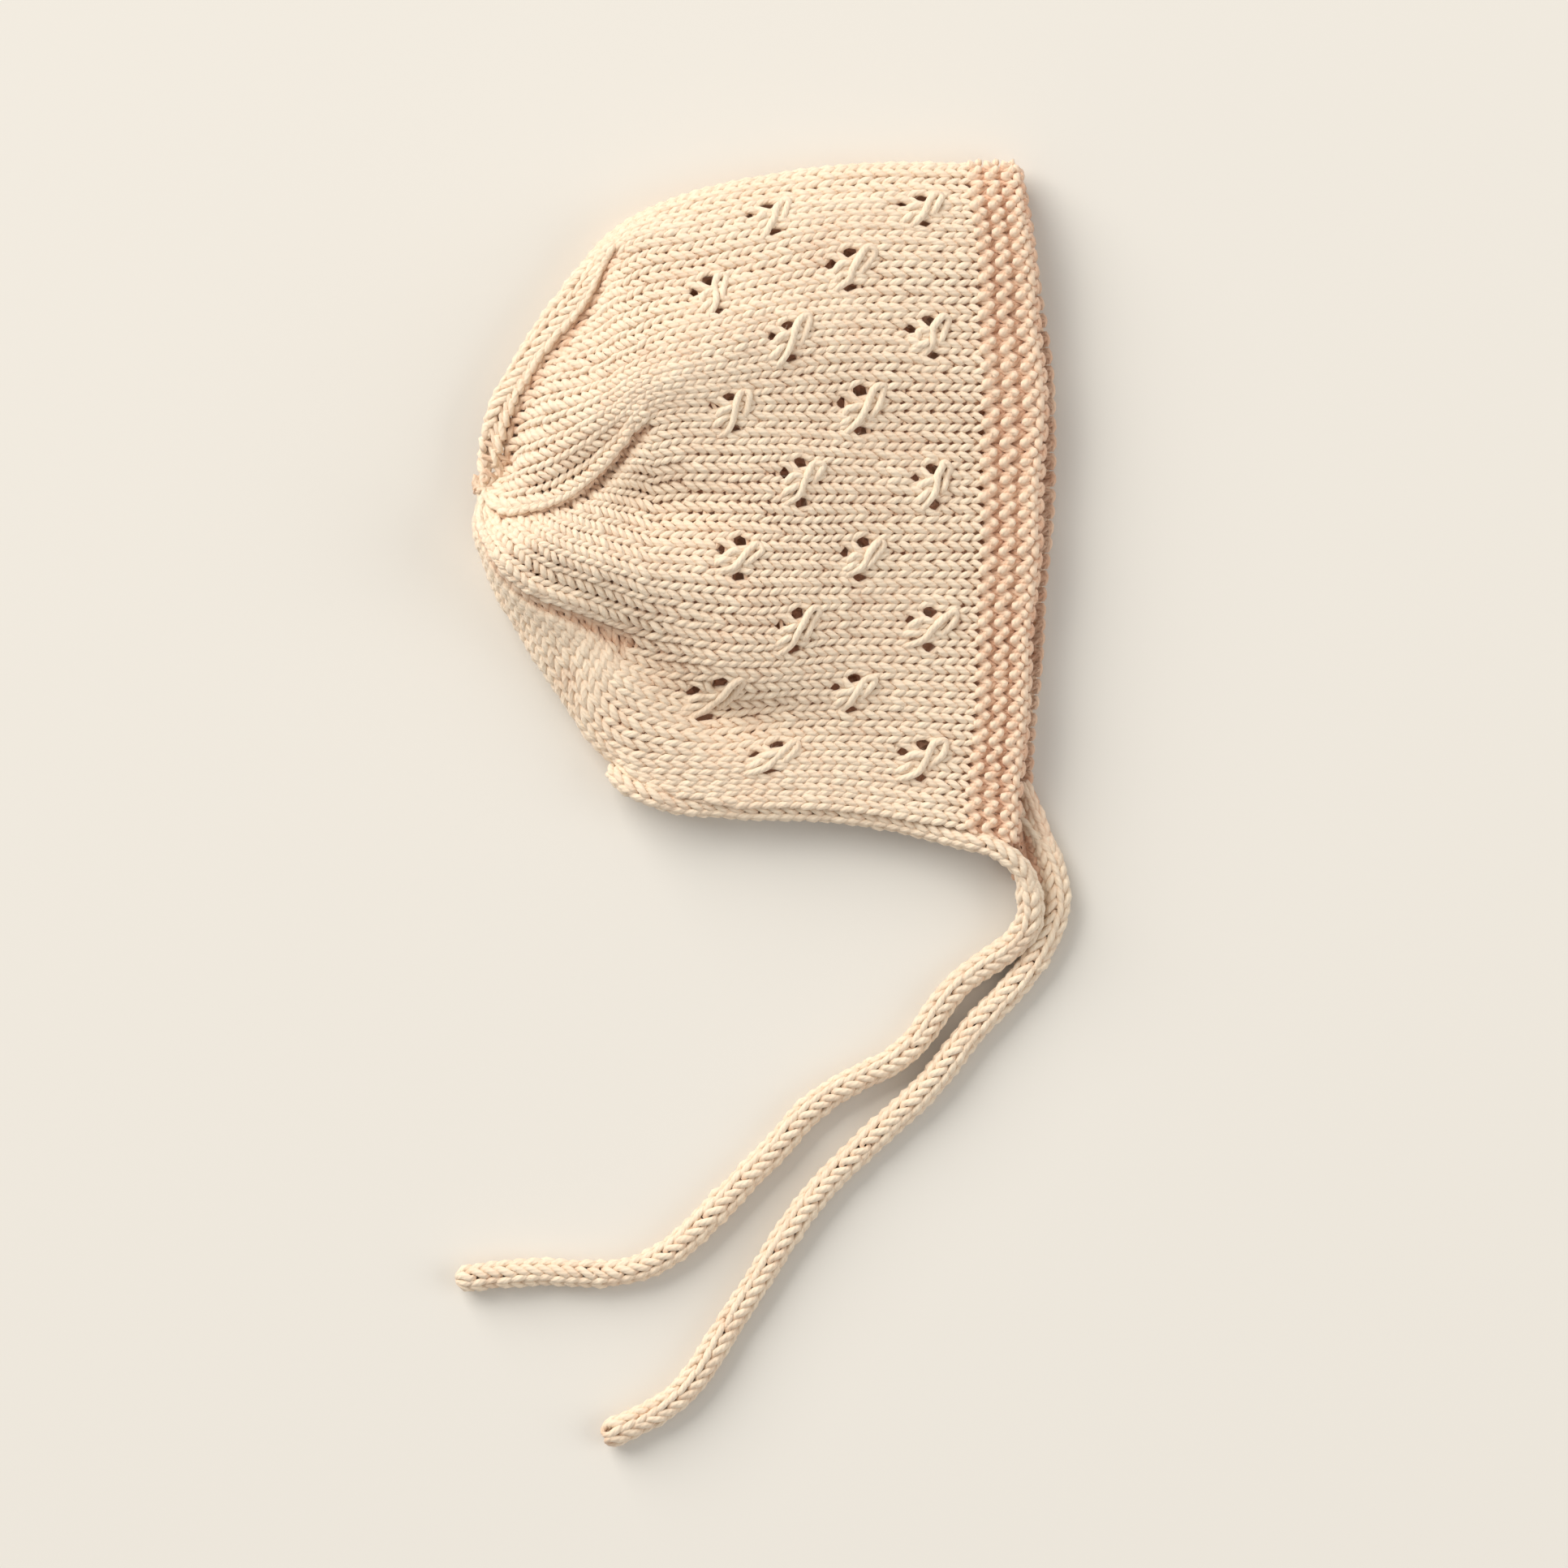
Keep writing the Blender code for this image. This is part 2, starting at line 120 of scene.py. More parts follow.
# columns: name, across, up, long radius, short radius, turn in degrees, rise
FORMS = (
    ("temple bulge", 0.354, 0.704, 0.150, 0.085, 20, 0.19),
    ("dent under rib B", 0.311, 0.512, 0.130, 0.042, -6, -0.22),
    ("valley of rib B", 0.185, 0.551, 0.130, 0.034, 34, -0.16),
    ("hollow left of rib B", 0.118, 0.600, 0.075, 0.045, 35, -0.13),
    ("hollow beside rib A", 0.233, 0.848, 0.060, 0.040, 45, -0.08),
    ("ear bulge", 0.232, 0.422, 0.150, 0.044, -17, 0.15),
    ("nape valley", 0.311, 0.293, 0.180, 0.038, -42, -0.26),
    ("neck hollow", 0.480, 0.208, 0.125, 0.040, -8, -0.20),
)
# How far the knitting is drawn under at the nape: courses back, and share of a side round.
NAPE_DRAW_BACK = 3.0
NAPE_DRAW_ROUND = 0.085
UPPER_TURN = 0.090
LOWER_TURN = 0.060
GATHER_TURN = 0.150
GATHERED_SHARE = 0.16
NAPE_CLOSING = 0.540
EDGING_TUCK = math.radians(78.0)
EDGING_TURN = 0.575

# Holes of one lace motif: wales down and courses back from its middle, and radius.
MOTIF_HOLES = ((-1.0, 0.1, 0.0020), (-0.5, 1.6, 0.0016), (1.0, 0.1, 0.0018))
# Strands drawn across one lace motif, as millimetres towards the face, up and out of the cloth.
MOTIF_STRANDS = (
    ((-5.4, -5.3, -0.5), (-3.0, -3.9, 0.6), (-1.0, -2.2, 0.9), (0.3, 0.0, 1.0), (1.2, 2.2, 0.9),
     (2.3, 4.1, 0.8), (3.7, 4.9, 0.7), (4.4, 3.8, 0.7), (3.4, 1.7, 0.8), (2.1, -0.4, 0.6), (0.8, -2.6, -0.6)),
    ((-4.6, -1.4, -0.5), (-3.4, 0.3, 0.4), (-2.0, 1.3, 0.7), (-0.3, 1.6, 0.6), (1.0, 1.6, -0.2)),
    ((-5.6, -3.3, -0.6), (-3.9, -2.0, 0.5), (-2.3, -1.0, 0.6), (-0.9, -0.4, 0.2)),
)

# columns: across, up, height in tie diameters
TIE_UPPER_ROUTE = (
    (0.969, -0.010, 1.70), (0.978, -0.035, 1.44), (0.983, -0.060, 1.22), (0.980, -0.084, 1.04),
    (0.960, -0.107, 0.81), (0.928, -0.127, 0.63), (0.895, -0.145, 0.52), (0.836, -0.191, 0.50),
    (0.792, -0.240, 0.50), (0.744, -0.275, 0.50), (0.680, -0.304, 0.50), (0.621, -0.333, 0.50),
    (0.576, -0.363, 0.50), (0.541, -0.396, 0.50), (0.495, -0.435, 0.50), (0.446, -0.477, 0.50),
    (0.399, -0.513, 0.50), (0.354, -0.544, 0.50), (0.302, -0.569, 0.50), (0.251, -0.580, 0.50),
    (0.191, -0.581, 0.50), (0.132, -0.579, 0.50), (0.073, -0.581, 0.50), (0.020, -0.586, 0.50),
    (-0.026, -0.590, 0.50),
)
TIE_LOWER_ROUTE = (
    (0.992, 0.053, 0.50), (1.010, 0.031, 0.50), (1.023, 0.006, 0.50), (1.029, -0.022, 0.50),
    (1.031, -0.052, 0.50), (1.022, -0.084, 0.50), (1.002, -0.118, 0.50), (0.969, -0.161, 0.50),
    (0.928, -0.198, 0.50), (0.889, -0.230, 0.50), (0.851, -0.265, 0.50), (0.813, -0.304, 0.50),
    (0.775, -0.339, 0.50), (0.730, -0.371, 0.50), (0.682, -0.405, 0.50), (0.635, -0.442, 0.50),
    (0.594, -0.481, 0.50), (0.562, -0.515, 0.50), (0.532, -0.551, 0.50), (0.502, -0.590, 0.50),
    (0.472, -0.631, 0.50), (0.438, -0.673, 0.50), (0.404, -0.714, 0.50), (0.367, -0.749, 0.50),
    (0.324, -0.776, 0.50), (0.277, -0.796, 0.50), (0.223, -0.815, 0.50),
)

chance = np.random.default_rng(7)
# Lines of the yarn that is seen, which carries the fuzz.
in_sight = []
# Slow waves that keep the rows of stitches from running quite true: wave, phase, reach.
WANDER = [(chance.normal(0.0, 1.0, 3) * 2 * math.pi / length, chance.uniform(0, 2 * math.pi),
           chance.normal(0.0, 1.0, 3) * (0.00011, 0.00011, 0.00006))
          for length in (0.012, 0.016, 0.023, 0.034, 0.050)]


def ease(value):
    value = np.clip(value, 0.0, 1.0)
    return value * value * (3.0 - 2.0 * value)


def mix(low, high, amount):
    return low + (high - low) * amount


def unit(vectors):
    return vectors / np.maximum(np.linalg.norm(vectors, axis=-1, keepdims=True), 1e-12)


def slopes(knots, values, flat_start=False, flat_end=False):
    """Slope of a smooth curve at each of its knots."""
    steps = np.diff(knots).reshape((-1,) + (1,) * (values.ndim - 1))
    rises = np.diff(values, axis=0) / steps
    found = np.empty_like(values)
    found[1:-1] = (rises[:-1] * steps[1:] + rises[1:] * steps[:-1]) / (steps[1:] + steps[:-1])
    found[0] = 0.0 if flat_start else rises[0]
    found[-1] = 0.0 if flat_end else rises[-1]
    return found


def through(knots, values, found, at):
    """Points of the smooth curve through values at its knots, with the given slopes."""
    knots = np.asarray(knots)
    place = np.clip(np.searchsorted(knots, at) - 1, 0, len(knots) - 2)
    across = (-1,) + (1,) * (values.ndim - 1)
    step = (knots[place + 1] - knots[place]).reshape(across)
    t = (at - knots[place]).reshape(across) / step
    return ((1 + 2 * t) * (1 - t) ** 2 * values[place] + t * (1 - t) ** 2 * step * found[place]
            + t * t * (3 - 2 * t) * values[place + 1] + t * t * (t - 1) * step * found[place + 1])


class Bonnet:
    """The bonnet's outer surface on a fine grid, read by wales from the top fold and courses."""

    CELLS_AROUND = 480
    CELLS_ALONG = 464

    def __init__(self):
        side = np.linspace(0.0, 1.0, self.CELLS_AROUND + 1)
        along = np.linspace(0.0, 1.0, self.CELLS_ALONG + 1)
        knots = [row[0] for row in PLAN]
        lines = []
        for row in PLAN:
            points = np.array(row[1:])
            lines.append(through(AROUND, points, slopes(AROUND, points, True, row[0] >= CROWN_START), side))
        lines = np.array(lines)
        back = slopes(knots, lines)
        back[-1, :, 0] = 0.0
        shares = through(knots, lines, back, along)
        x = (shares[..., 0] - MIDDLE_ACROSS) * BONNET_DEPTH
        y = (shares[..., 1] - MIDDLE_UP) * BONNET_HEIGHT
        side, along = np.meshgrid(side, along)
        upper = np.stack([x, y, self.upper_height(x, y, side, along)], -1)
        front = np.clip(1.0 - along / CROWN_START, 0.0, 1.0)
        lower = np.stack([x + LOWER_PEEK * ease(side / 0.6) * front,
                          y + LOWER_NECK_LIFT * side * side * front,
                          self.fold(side, along) * (1.0 - self.rounding(side, along, LOWER_TURN))], -1)
        self.points = np.concatenate([lower[:, :0:-1], upper], 1)
        self.out = unit(np.cross(np.gradient(self.points, axis=0), np.gradient(self.points, axis=1)))

    def fold(self, side, along):
        top = mix(TOP_FOLD_HEIGHT, GATHER_HEIGHT, ease((along - 0.3) / 0.7))
        nape = mix(NAPE_FOLD_HEIGHT, GATHER_HEIGHT, ease((along - CROWN_START) / (1.0 - CROWN_START)))
        return mix(top, nape, side)

    def left(self, along):
        """Share of the stitches that the crown still has."""
        return 1.0 - (1.0 - GATHERED_SHARE) * np.clip((along - CROWN_START) / (1.0 - CROWN_START), 0, 1)

    def rounding(self, side, along, turn):
        span = np.minimum(0.5, turn / self.left(along))
        closing = ease((along - NAPE_CLOSING) / (CROWN_START - NAPE_CLOSING))
        nape = (1.0 - side) / span + (1.0 - closing)
        over = np.sin(0.5 * math.pi * np.clip(np.minimum(side / span, nape), 0, 1))
        return over * np.sin(0.5 * math.pi * np.clip((1.0 - along) / GATHER_TURN, 0, 1))

    def upper_height(self, x, y, side, along):
        rise = 0.0
        for _, across, up, long_radius, short_radius, turn, part in FORMS:
            dx = x - (across - MIDDLE_ACROSS) * BONNET_DEPTH
            dy = y - (up - MIDDLE_UP) * BONNET_HEIGHT
            angle = math.radians(turn)
            u = (dx * math.cos(angle) + dy * math.sin(angle)) / (long_radius * BONNET_DEPTH)
            v = (dy * math.cos(angle) - dx * math.sin(angle)) / (short_radius * BONNET_HEIGHT)
            rise = rise + PUFF_HEIGHT * part * np.exp(-u * u - v * v)
        for rib in AROUND[1:6:2]:
            reach = 0.014 / self.left(along)
            groove = (np.exp(-((side - rib + reach) / reach) ** 2)
                      - np.exp(-((side - rib - reach) / reach) ** 2))
            rise = rise + RIB_RELIEF * ease((along - CROWN_START) * CROWN_COURSES / 2.0) * groove
        pillow = ease(along / 0.50) * ease((1.0 - side) / 0.40) * ease(side / 0.33)
        rim = mix(FACE_RIM_HEIGHT, NECK_RIM_HEIGHT, ease(along / 0.3))
        top = rim + (PUFF_HEIGHT - rim) * pillow + rise
        fold = self.fold(side, along)
        return fold + (top - fold) * self.rounding(side, along, UPPER_TURN)

    def read(self, grid, column, row):
        i = np.clip(np.floor(column).astype(int), 0, grid.shape[1] - 2)
        j = np.clip(np.floor(row).astype(int), 0, grid.shape[0] - 2)
        s = (column - i)[:, None]
        t = (row - j)[:, None]
        return ((1 - t) * ((1 - s) * grid[j, i] + s * grid[j, i + 1])
                + t * ((1 - s) * grid[j + 1, i] + s * grid[j + 1, i + 1]))

    def drift(self, wales, courses):
        """Places round and along the surface, with the knitting drawn under towards the nape."""
        around = wales / SIDE_WALES
        late = ease((courses - 22.0) / 14.0)
        turn = np.where(around < 0.0, around + 2.0, around)
        nape = ease((turn - 0.65) / 0.33) * ease((1.35 - turn) / 0.33)
        courses = courses + NAPE_DRAW_BACK * nape * late * (1.0 - ease((courses - 40.0) / 18.0))
        drawn = NAPE_DRAW_ROUND * late * np.interp(around, (0.7, 1.0, 1.6), (0.0, 1.0, 0.0))
        return around + drawn, courses / COURSES

    def place(self, around, along):
        """Point on the surface, and its outward normal."""
        around = np.where((around > 1.0) & (along > CROWN_START - 0.02), around - 2.0, around)
        column = (around + 1.0) * self.CELLS_AROUND
        row = along * self.CELLS_ALONG
        return self.read(self.points, column, row), unit(self.read(self.out, column, row))

    def at(self, wales, courses):
        """Point on the surface, and its outward normal, where this stitch lies."""
        return self.place(*self.drift(wales, courses))


class Cord:
    """Surface of a round cord along a path, read by wales round it and courses along it."""

    def __init__(self, path, radius, wales, course, turn, ends):
        self.path = np.array(path)
        steps = np.linalg.norm(np.diff(self.path, axis=0), axis=1)
        self.knots = np.concatenate([[0.0], np.cumsum(steps)])
        self.radius, self.wales, self.course = radius, wales, course
        self.ends = ends
        self.turn = np.radians(turn)
        self.tangents = unit(np.gradient(self.path, self.knots, axis=0))
        up = np.array([0.0, 0.0, 1.0])
        ups = []
        for tangent in self.tangents:
            up = unit(up - tangent * (up @ tangent))
            ups.append(up)
        self.ups = np.array(ups)

    def courses(self):
        return int(self.knots[-1] / self.course)

    def at(self, wales, courses):
        way = courses * self.course
        way = np.clip(way, 0.0, self.knots[-1])
        middle, up, tangent = (np.stack([np.interp(way, self.knots, grid[:, k]) for k in range(3)], -1)
                               for grid in (self.path, self.ups, self.tangents))
        tangent = unit(tangent)
        up = unit(up)
        beside = np.cross(tangent, up)
        angle = mix(*self.turn, way / self.knots[-1]) - 2.0 * math.pi * wales / self.wales
        angle = angle[:, None]
        out = up * np.cos(angle) + beside * np.sin(angle)
        radius = np.full(len(way), self.radius)
        for end, from_end in zip(self.ends, (way, self.knots[-1] - way)):
            if end == "joined":
                radius *= mix(0.40, 1.0, ease(from_end / 0.007))
            else:
                # A free end is rounded.
                left = 1.0 - np.clip(from_end / (self.radius + YARN / 2), 0.0, 1.0)
                radius *= np.sqrt(np.clip(1.0 - left ** 2, 0.04, 1.0))
        return middle + out * radius[:, None], out


class Patch:
    """A small flat piece of knitting between four corners."""

    def __init__(self, corners, wales, courses):
        self.corners = np.array(corners)
        self.wales, self.courses = wales, courses

    def at(self, wales, courses):
        s, t = (wales / self.wales)[:, None], (courses / self.courses)[:, None]
        near_left, near_right, far_left, far_right = self.corners
        points = mix(mix(near_left, near_right, s), mix(far_left, far_right, s), t)
        out = np.zeros_like(points)
        out[:, 2] = 1.0
        return points, out


def knit_loop(lean, high, deep, skew, plump=0.28):
    """One knitted stitch seen from its right side: wales, courses, height, thickness of its yarn."""
    turn = np.linspace(0.0, 2.0 * math.pi, STITCH_POINTS, endpoint=False)
    return np.stack([turn / (2 * math.pi) + lean * np.sin(2 * turn) + skew * np.cos(turn),
                     -high * np.cos(turn),
                     -deep * np.cos(2 * turn),
                     1.0 - plump * (0.5 + 0.5 * np.cos(2 * turn)) + 0.05 * np.sin(turn)], -1)


def garter_loop(lean, high, deep, front, slant):
    """One stitch of a garter ridge: a knit one has its head in front, a purl one its feet."""
    turn = np.linspace(0.0, 2.0 * math.pi, STITCH_POINTS, endpoint=False)
    turn = turn - 0.22 * np.sin(2 * turn)
    bump = -np.cos(turn) * front
    return np.stack([turn / (2 * math.pi) + lean * np.sin(2 * turn),
                     -high * np.cos(turn) - slant * np.sin(turn),
                     deep * (1.0 - 2.0 * np.sqrt(0.5 - 0.5 * bump)),
                     (1.08 if front > 0 else 0.98) + 0.14 * bump], -1)


def course_of(loop, first, count, course, wild=1.0):
    """A course of stitches as rows of wale, course, height and thickness, a little uneven."""
    points = np.tile(loop, (count, 1))
    stitch = np.repeat(np.arange(count), len(loop))
    points[:, 0] += first + stitch
    uneven = chance.normal(0.0, 1.0, (count, 5)) * wild
    turn = np.tile(np.linspace(0, 2 * math.pi, len(loop), endpoint=False), count)
    points[:, 0] += 0.035 * uneven[stitch, 0] * np.sin(turn)
    points[:, 1] *= 1.0 + 0.05 * uneven[stitch, 1]
    points[:, 1] += course + 0.5 + 0.05 * uneven[stitch, 2] * (1 - np.cos(turn)) / 2
    points[:, 3] *= 1.0 + 0.05 * uneven[stitch, 3] * np.sin(turn) ** 2
    points[:, 2] += 0.00010 * uneven[stitch, 4] * np.sin(turn) ** 2
    return points


def open_eyelets(points, holes):
    """Pushes the yarn aside round each hole."""
    for wale, course, radius in holes:
        aside = (points[:, 0] - wale) * STITCH_WIDTH
        along = (points[:, 1] - course) * STITCH_HEIGHT
        far = np.hypot(aside, along)
        near = far < 4.0 * radius
        grown = (far[near] ** 3 + radius ** 3) ** (1.0 / 3.0) / np.maximum(far[near], 1e-5)
        points[near, 0] = wale + aside[near] * grown / STITCH_WIDTH
        points[near, 1] = course + along[near] * grown / STITCH_HEIGHT


def yarn_mesh(name, lines, material, replaced=()):
    """Round yarn along each of these lines of points and thicknesses, as one mesh."""
    yarn = bpy.data.curves.new(name, "CURVE")
    yarn.dimensions = "3D"
    yarn.bevel_depth = YARN / 2
    yarn.bevel_resolution = YARN_SIDES // 2 - 2
    ways, shade_depth = [], []
    for points, thickness, depth in lines:
        # A last short step brings each end to a point, so that the tube is closed.
        outward = unit(points[[0, -1]] - points[[1, -2]])
        tips = points[[0, -1]] + outward * thickness[[0, -1], None] * YARN * 0.3
        points = np.concatenate([tips[:1], points, tips[1:]])
        thickness = np.concatenate([[0.02], thickness, [0.02]])
        depth = np.concatenate([depth[:1], depth, depth[-1:]])
        spline = yarn.splines.new("POLY")
        spline.points.add(len(points) - 1)
        spline.points.foreach_set("co", np.column_stack([points, np.ones(len(points))]).ravel())
        spline.points.foreach_set("radius", thickness)
        spline.use_smooth = True
        steps = np.linalg.norm(np.diff(points, axis=0), axis=1)
        ways.append(np.concatenate([[0.0], np.cumsum(steps)]))
        shade_depth.append(depth)
    piece = bpy.data.objects.new(name, yarn)
    bpy.context.scene.collection.objects.link(piece)
    bpy.ops.object.select_all(action="DESELECT")
    piece.select_set(True)
    bpy.context.view_layer.objects.active = piece
    bpy.ops.object.convert(target="MESH")
    mesh = piece.data
    corners = np.empty(len(mesh.loops), int)
    mesh.loops.foreach_get("vertex_index", corners)
    ring, place = np.divmod(corners, YARN_SIDES)
    place = place.reshape(-1, 4)
    wraps = (place == 0) & (place.max(1) == YARN_SIDES - 1)[:, None]
    place = np.where(wraps, YARN_SIDES, place).ravel()
    way = np.concatenate(ways)[ring]
    mesh.uv_layers[0].data.foreach_set("uv", np.column_stack([way * 100.0, place / YARN_SIDES]).ravel())
    # How deep each point lies, kept for the painted shade in the yarn's colour.
    depth = mesh.attributes.new("shade_depth", "FLOAT", "POINT")
    depth.data.foreach_set("value", np.repeat(np.concatenate(shade_depth), YARN_SIDES))
    mesh.materials.append(material)
    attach(piece, "root")
    if replaced:
        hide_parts(*replaced)
    if name != "lace_lower":
        in_sight.extend(lines)
    return piece


def fuzz_mesh(name, lines, count, material):
    """Loose ends of fibre standing off the yarn, as narrow tapering ribbons of two faces each."""
    starts = np.concatenate([points[:-1] for points, _, _ in lines])
    steps = np.concatenate([np.diff(points, axis=0) for points, _, _ in lines])
    thickness = np.concatenate([value[:-1] for _, value, _ in lines])
    lengths = np.linalg.norm(steps, axis=1)
    picked = chance.choice(len(starts), count, p=lengths / lengths.sum())
    along = unit(steps[picked])
    away = chance.normal(0.0, 1.0, (count, 3)) + (0.0, 0.0, 0.7)
    away = unit(away - along * (away * along).sum(1)[:, None])
    root = starts[picked] + steps[picked] * chance.uniform(0, 1, (count, 1))
    root = root + away * (thickness[picked] * YARN * 0.46)[:, None]
    lean = unit(along * chance.choice((-1.0, 1.0), (count, 1)) * 0.9 + away * 0.55
                + chance.normal(0.0, 0.45, (count, 3)))
    length = chance.uniform(0.0007, 0.0020, (count, 1))
    middle = root + lean * length * 0.5
    tip = root + lean * length - away * length * chance.uniform(0.0, 0.5, (count, 1))
    flat = unit(np.cross(lean, away + chance.normal(0.0, 0.5, (count, 3)))) * FIBRE_WIDTH / 2
    corners = np.stack([root - flat, root + flat, middle - flat * 0.8, middle + flat * 0.8,
                        tip - flat * 0.3, tip + flat * 0.3], 1).reshape(-1, 3)
    corners[:, 2] = np.maximum(corners[:, 2], 0.0)
    first = np.arange(count)[:, None] * 6
    faces = np.concatenate([first + (0, 1, 3, 2), first + (2, 3, 5, 4)])
    mesh = bpy.data.meshes.new(name)
    mesh.vertices.add(len(corners))
    mesh.vertices.foreach_set("co", corners.ravel())
    mesh.loops.add(faces.size)
    mesh.loops.foreach_set("vertex_index", faces.ravel())
    mesh.polygons.add(len(faces))
    mesh.polygons.foreach_set("loop_start", np.arange(len(faces)) * 4)
    mesh.update(calc_edges=True)
    mesh.materials.append(material)
    piece = bpy.data.objects.new(name, mesh)
    bpy.context.scene.collection.objects.link(piece)
    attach(piece, "root")


def lay_on(ground, points, inward, spread=None):
    """Yarn line on a surface: its points, thicknesses, and how deep each lies in the cloth, which sets its
    painted shade.
    """
    wales, courses = points[:, 0], points[:, 1]
    if spread:
        wales = spread(wales, courses)
    surface, out = ground.at(wales, courses)
    line = surface + out * (points[:, 2] - inward)[:, None]
    for wave, phase, way in WANDER:
        line = line + way * np.sin(surface @ wave + phase)[:, None]
    thickness = points[:, 3].copy()
    if ground is bonnet:
        # Where the courses crowd together the yarn is squeezed thinner.
        tall = np.linalg.norm(ground.at(wales, courses + 0.5)[0] - ground.at(wales, courses - 0.5)[0], axis=1)
        thickness *= np.clip(tall / STITCH_HEIGHT, 0.55, 1.05) ** 0.6
    thickness[[0, -1]] *= 0.4
    return line, thickness, np.clip(0.5 - points[:, 2] / (2 * np.abs(points[:, 2]).max()), 0, 1)


def flat_under(lines):
    """Presses a layer flat where it rests on the surface under it."""
    for points, thickness, _ in lines:
        points[:, 2] = np.maximum(points[:, 2], thickness * YARN / 2)
    return lines


# Camera, straight above the bonnet as in the photo.
bpy.ops.object.camera_add(location=(0.0051, -0.0587, CAMERA_HEIGHT), rotation=(0.0, 0.0, 0.0))
camera = bpy.context.object
camera.data.sensor_width = 36.0
camera.data.lens = 36.0 / PHOTO_WIDTH * CAMERA_HEIGHT
camera.data.clip_end = 10.0
bpy.context.scene.camera = camera


def srgb(code):
    """Linear colour from an sRGB hex value."""
    parts = [int(code[k:k + 2], 16) / 255 for k in (0, 2, 4)]
    return [p / 12.92 if p <= 0.04045 else ((p + 0.055) / 1.055) ** 2.4 for p in parts] + [1.0]


def add_node(material, kind, links=(), **settings):
    """Adds a node with its settings; links are pairs of an input and what feeds it."""
    node = material.node_tree.nodes.new(kind)
    for name, value in settings.items():
        if name.startswith("in_"):
            key = name[3:]
            node.inputs[int(key) if key.isdigit() else key.replace("_", " ")].default_value = value
        else:
            setattr(node, name, value)
    for socket, source in links:
        material.node_tree.links.new(source, node.inputs[socket])
    return node


def cotton(name, pale, deep, glow=0.0):
    """Matt spun cotton, four plies twisted: pale on the outside, with painted shade, warmer and darker, where
    the yarn lies deep between the stitches and between its plies; glow gives it a painted warm glow.
    """
    material = bpy.data.materials.new(name)
    material.use_nodes = True
    link = material.node_tree.links.new
    shader = material.node_tree.nodes["Principled BSDF"]
    where = add_node(material, "ShaderNodeTexCoord")
    shade_depth = add_node(material, "ShaderNodeAttribute", attribute_name="shade_depth")
    patch = add_node(material, "ShaderNodeTexNoise", [("Vector", where.outputs["Object"])],
                     in_Scale=160.0, in_Detail=3.0)
    fibre = add_node(material, "ShaderNodeTexNoise", [("Vector", where.outputs["Object"])],
                     in_Scale=2600.0, in_Detail=3.0)
    # Plies: four rounded ridges winding round the yarn, one turn in 6 mm.
    split = add_node(material, "ShaderNodeSeparateXYZ", [("Vector", where.outputs["UV"])])
    round_it = add_node(material, "ShaderNodeMath", [(0, split.outputs["Y"])], operation="MULTIPLY", in_1=4.0)
    twist = add_node(material, "ShaderNodeMath", [(0, split.outputs["X"]), (2, round_it.outputs[0])],
                     operation="MULTIPLY_ADD", in_1=6.7)
    angle = add_node(material, "ShaderNodeMath", [(0, twist.outputs[0])], operation="MULTIPLY", in_1=math.pi)
    wave = add_node(material, "ShaderNodeMath", [(0, angle.outputs[0])], operation="SINE")
    ply = add_node(material, "ShaderNodeMath", [(0, wave.outputs[0])], operation="ABSOLUTE")
    relief = add_node(material, "ShaderNodeMath", [(0, fibre.outputs["Fac"]), (2, ply.outputs[0])],
                      operation="MULTIPLY_ADD", in_1=0.9)
    bump = add_node(material, "ShaderNodeBump", [("Height", relief.outputs[0])],
                    in_Strength=0.40, in_Distance=0.00020)
    link(bump.outputs["Normal"], shader.inputs["Normal"])
    # Colour with painted shade: warmer and darker where the yarn lies deep between the stitches and in the
    # creases between the plies; the shade of the deep yarn varies in slow random patches.
    recess_shade = add_node(material, "ShaderNodeMath", [(0, shade_depth.outputs["Fac"]), (1, patch.outputs["Fac"])],
                      operation="MULTIPLY")
    ply_and_recess_shade = add_node(material, "ShaderNodeMath", [(0, ply.outputs[0]), (2, recess_shade.outputs[0])],
                      operation="MULTIPLY_ADD", in_1=-0.10)
    painted_shade = add_node(material, "ShaderNodeMath", [(0, ply_and_recess_shade.outputs[0])], operation="ADD", in_1=0.08)
    painted_shade.use_clamp = True
    tone = add_node(material, "ShaderNodeMix", [("Factor", painted_shade.outputs[0])], data_type="RGBA",
                    in_6=srgb(pale), in_7=srgb(deep))
    link(tone.outputs[2], shader.inputs["Base Color"])
    shader.inputs["Roughness"].default_value = 0.85
    shader.inputs["IOR"].default_value = 1.45
    shader.inputs["Specular IOR Level"].default_value = 0.25
    # Painted glow: the yarn gives off a little warm light, which stands in for daylight that comes through
    # the thin cloth, and is why its eyelets look brown and not black.
    shader.inputs["Emission Color"].default_value = srgb("FFB894")
    shader.inputs["Emission Strength"].default_value = glow
    shader.inputs["Sheen Weight"].default_value = 0.35
    shader.inputs["Sheen Roughness"].default_value = 0.5
    return material


cream = cotton("spun cotton, cream", "F3E1C8", "C98F66")
rosy = cotton("spun cotton, cream in garter stitch", "F6DDC2", "C98862")
# The lower layer's yarn, with a painted glow.
inside = cotton("spun cotton, cream, with painted glow, inside the bonnet", "F3E1C8", "C98F66", 0.055)

bonnet = Bonnet()


def motifs():
    """Wale and course of the middle of each lace motif of a layer, in staggered columns."""
    found = []
    for column in range(LACE_COLUMNS):
        course = BAND_COURSES + FIRST_LACE_COURSE + column * LACE_COURSES // 2
        first = FIRST_LACE_WALE + (column % 2) * LACE_WALES // 2
        found += [(wale, course) for wale in range(first, SIDE_WALES - 2, LACE_WALES)]
    return found


# The two layers of the lace, their yarn pushed aside round the eyelets.
holes = [(side * wale + down, course + back, radius)
         for wale, course in motifs() for side in (1, -1) for down, back, radius in MOTIF_HOLES]

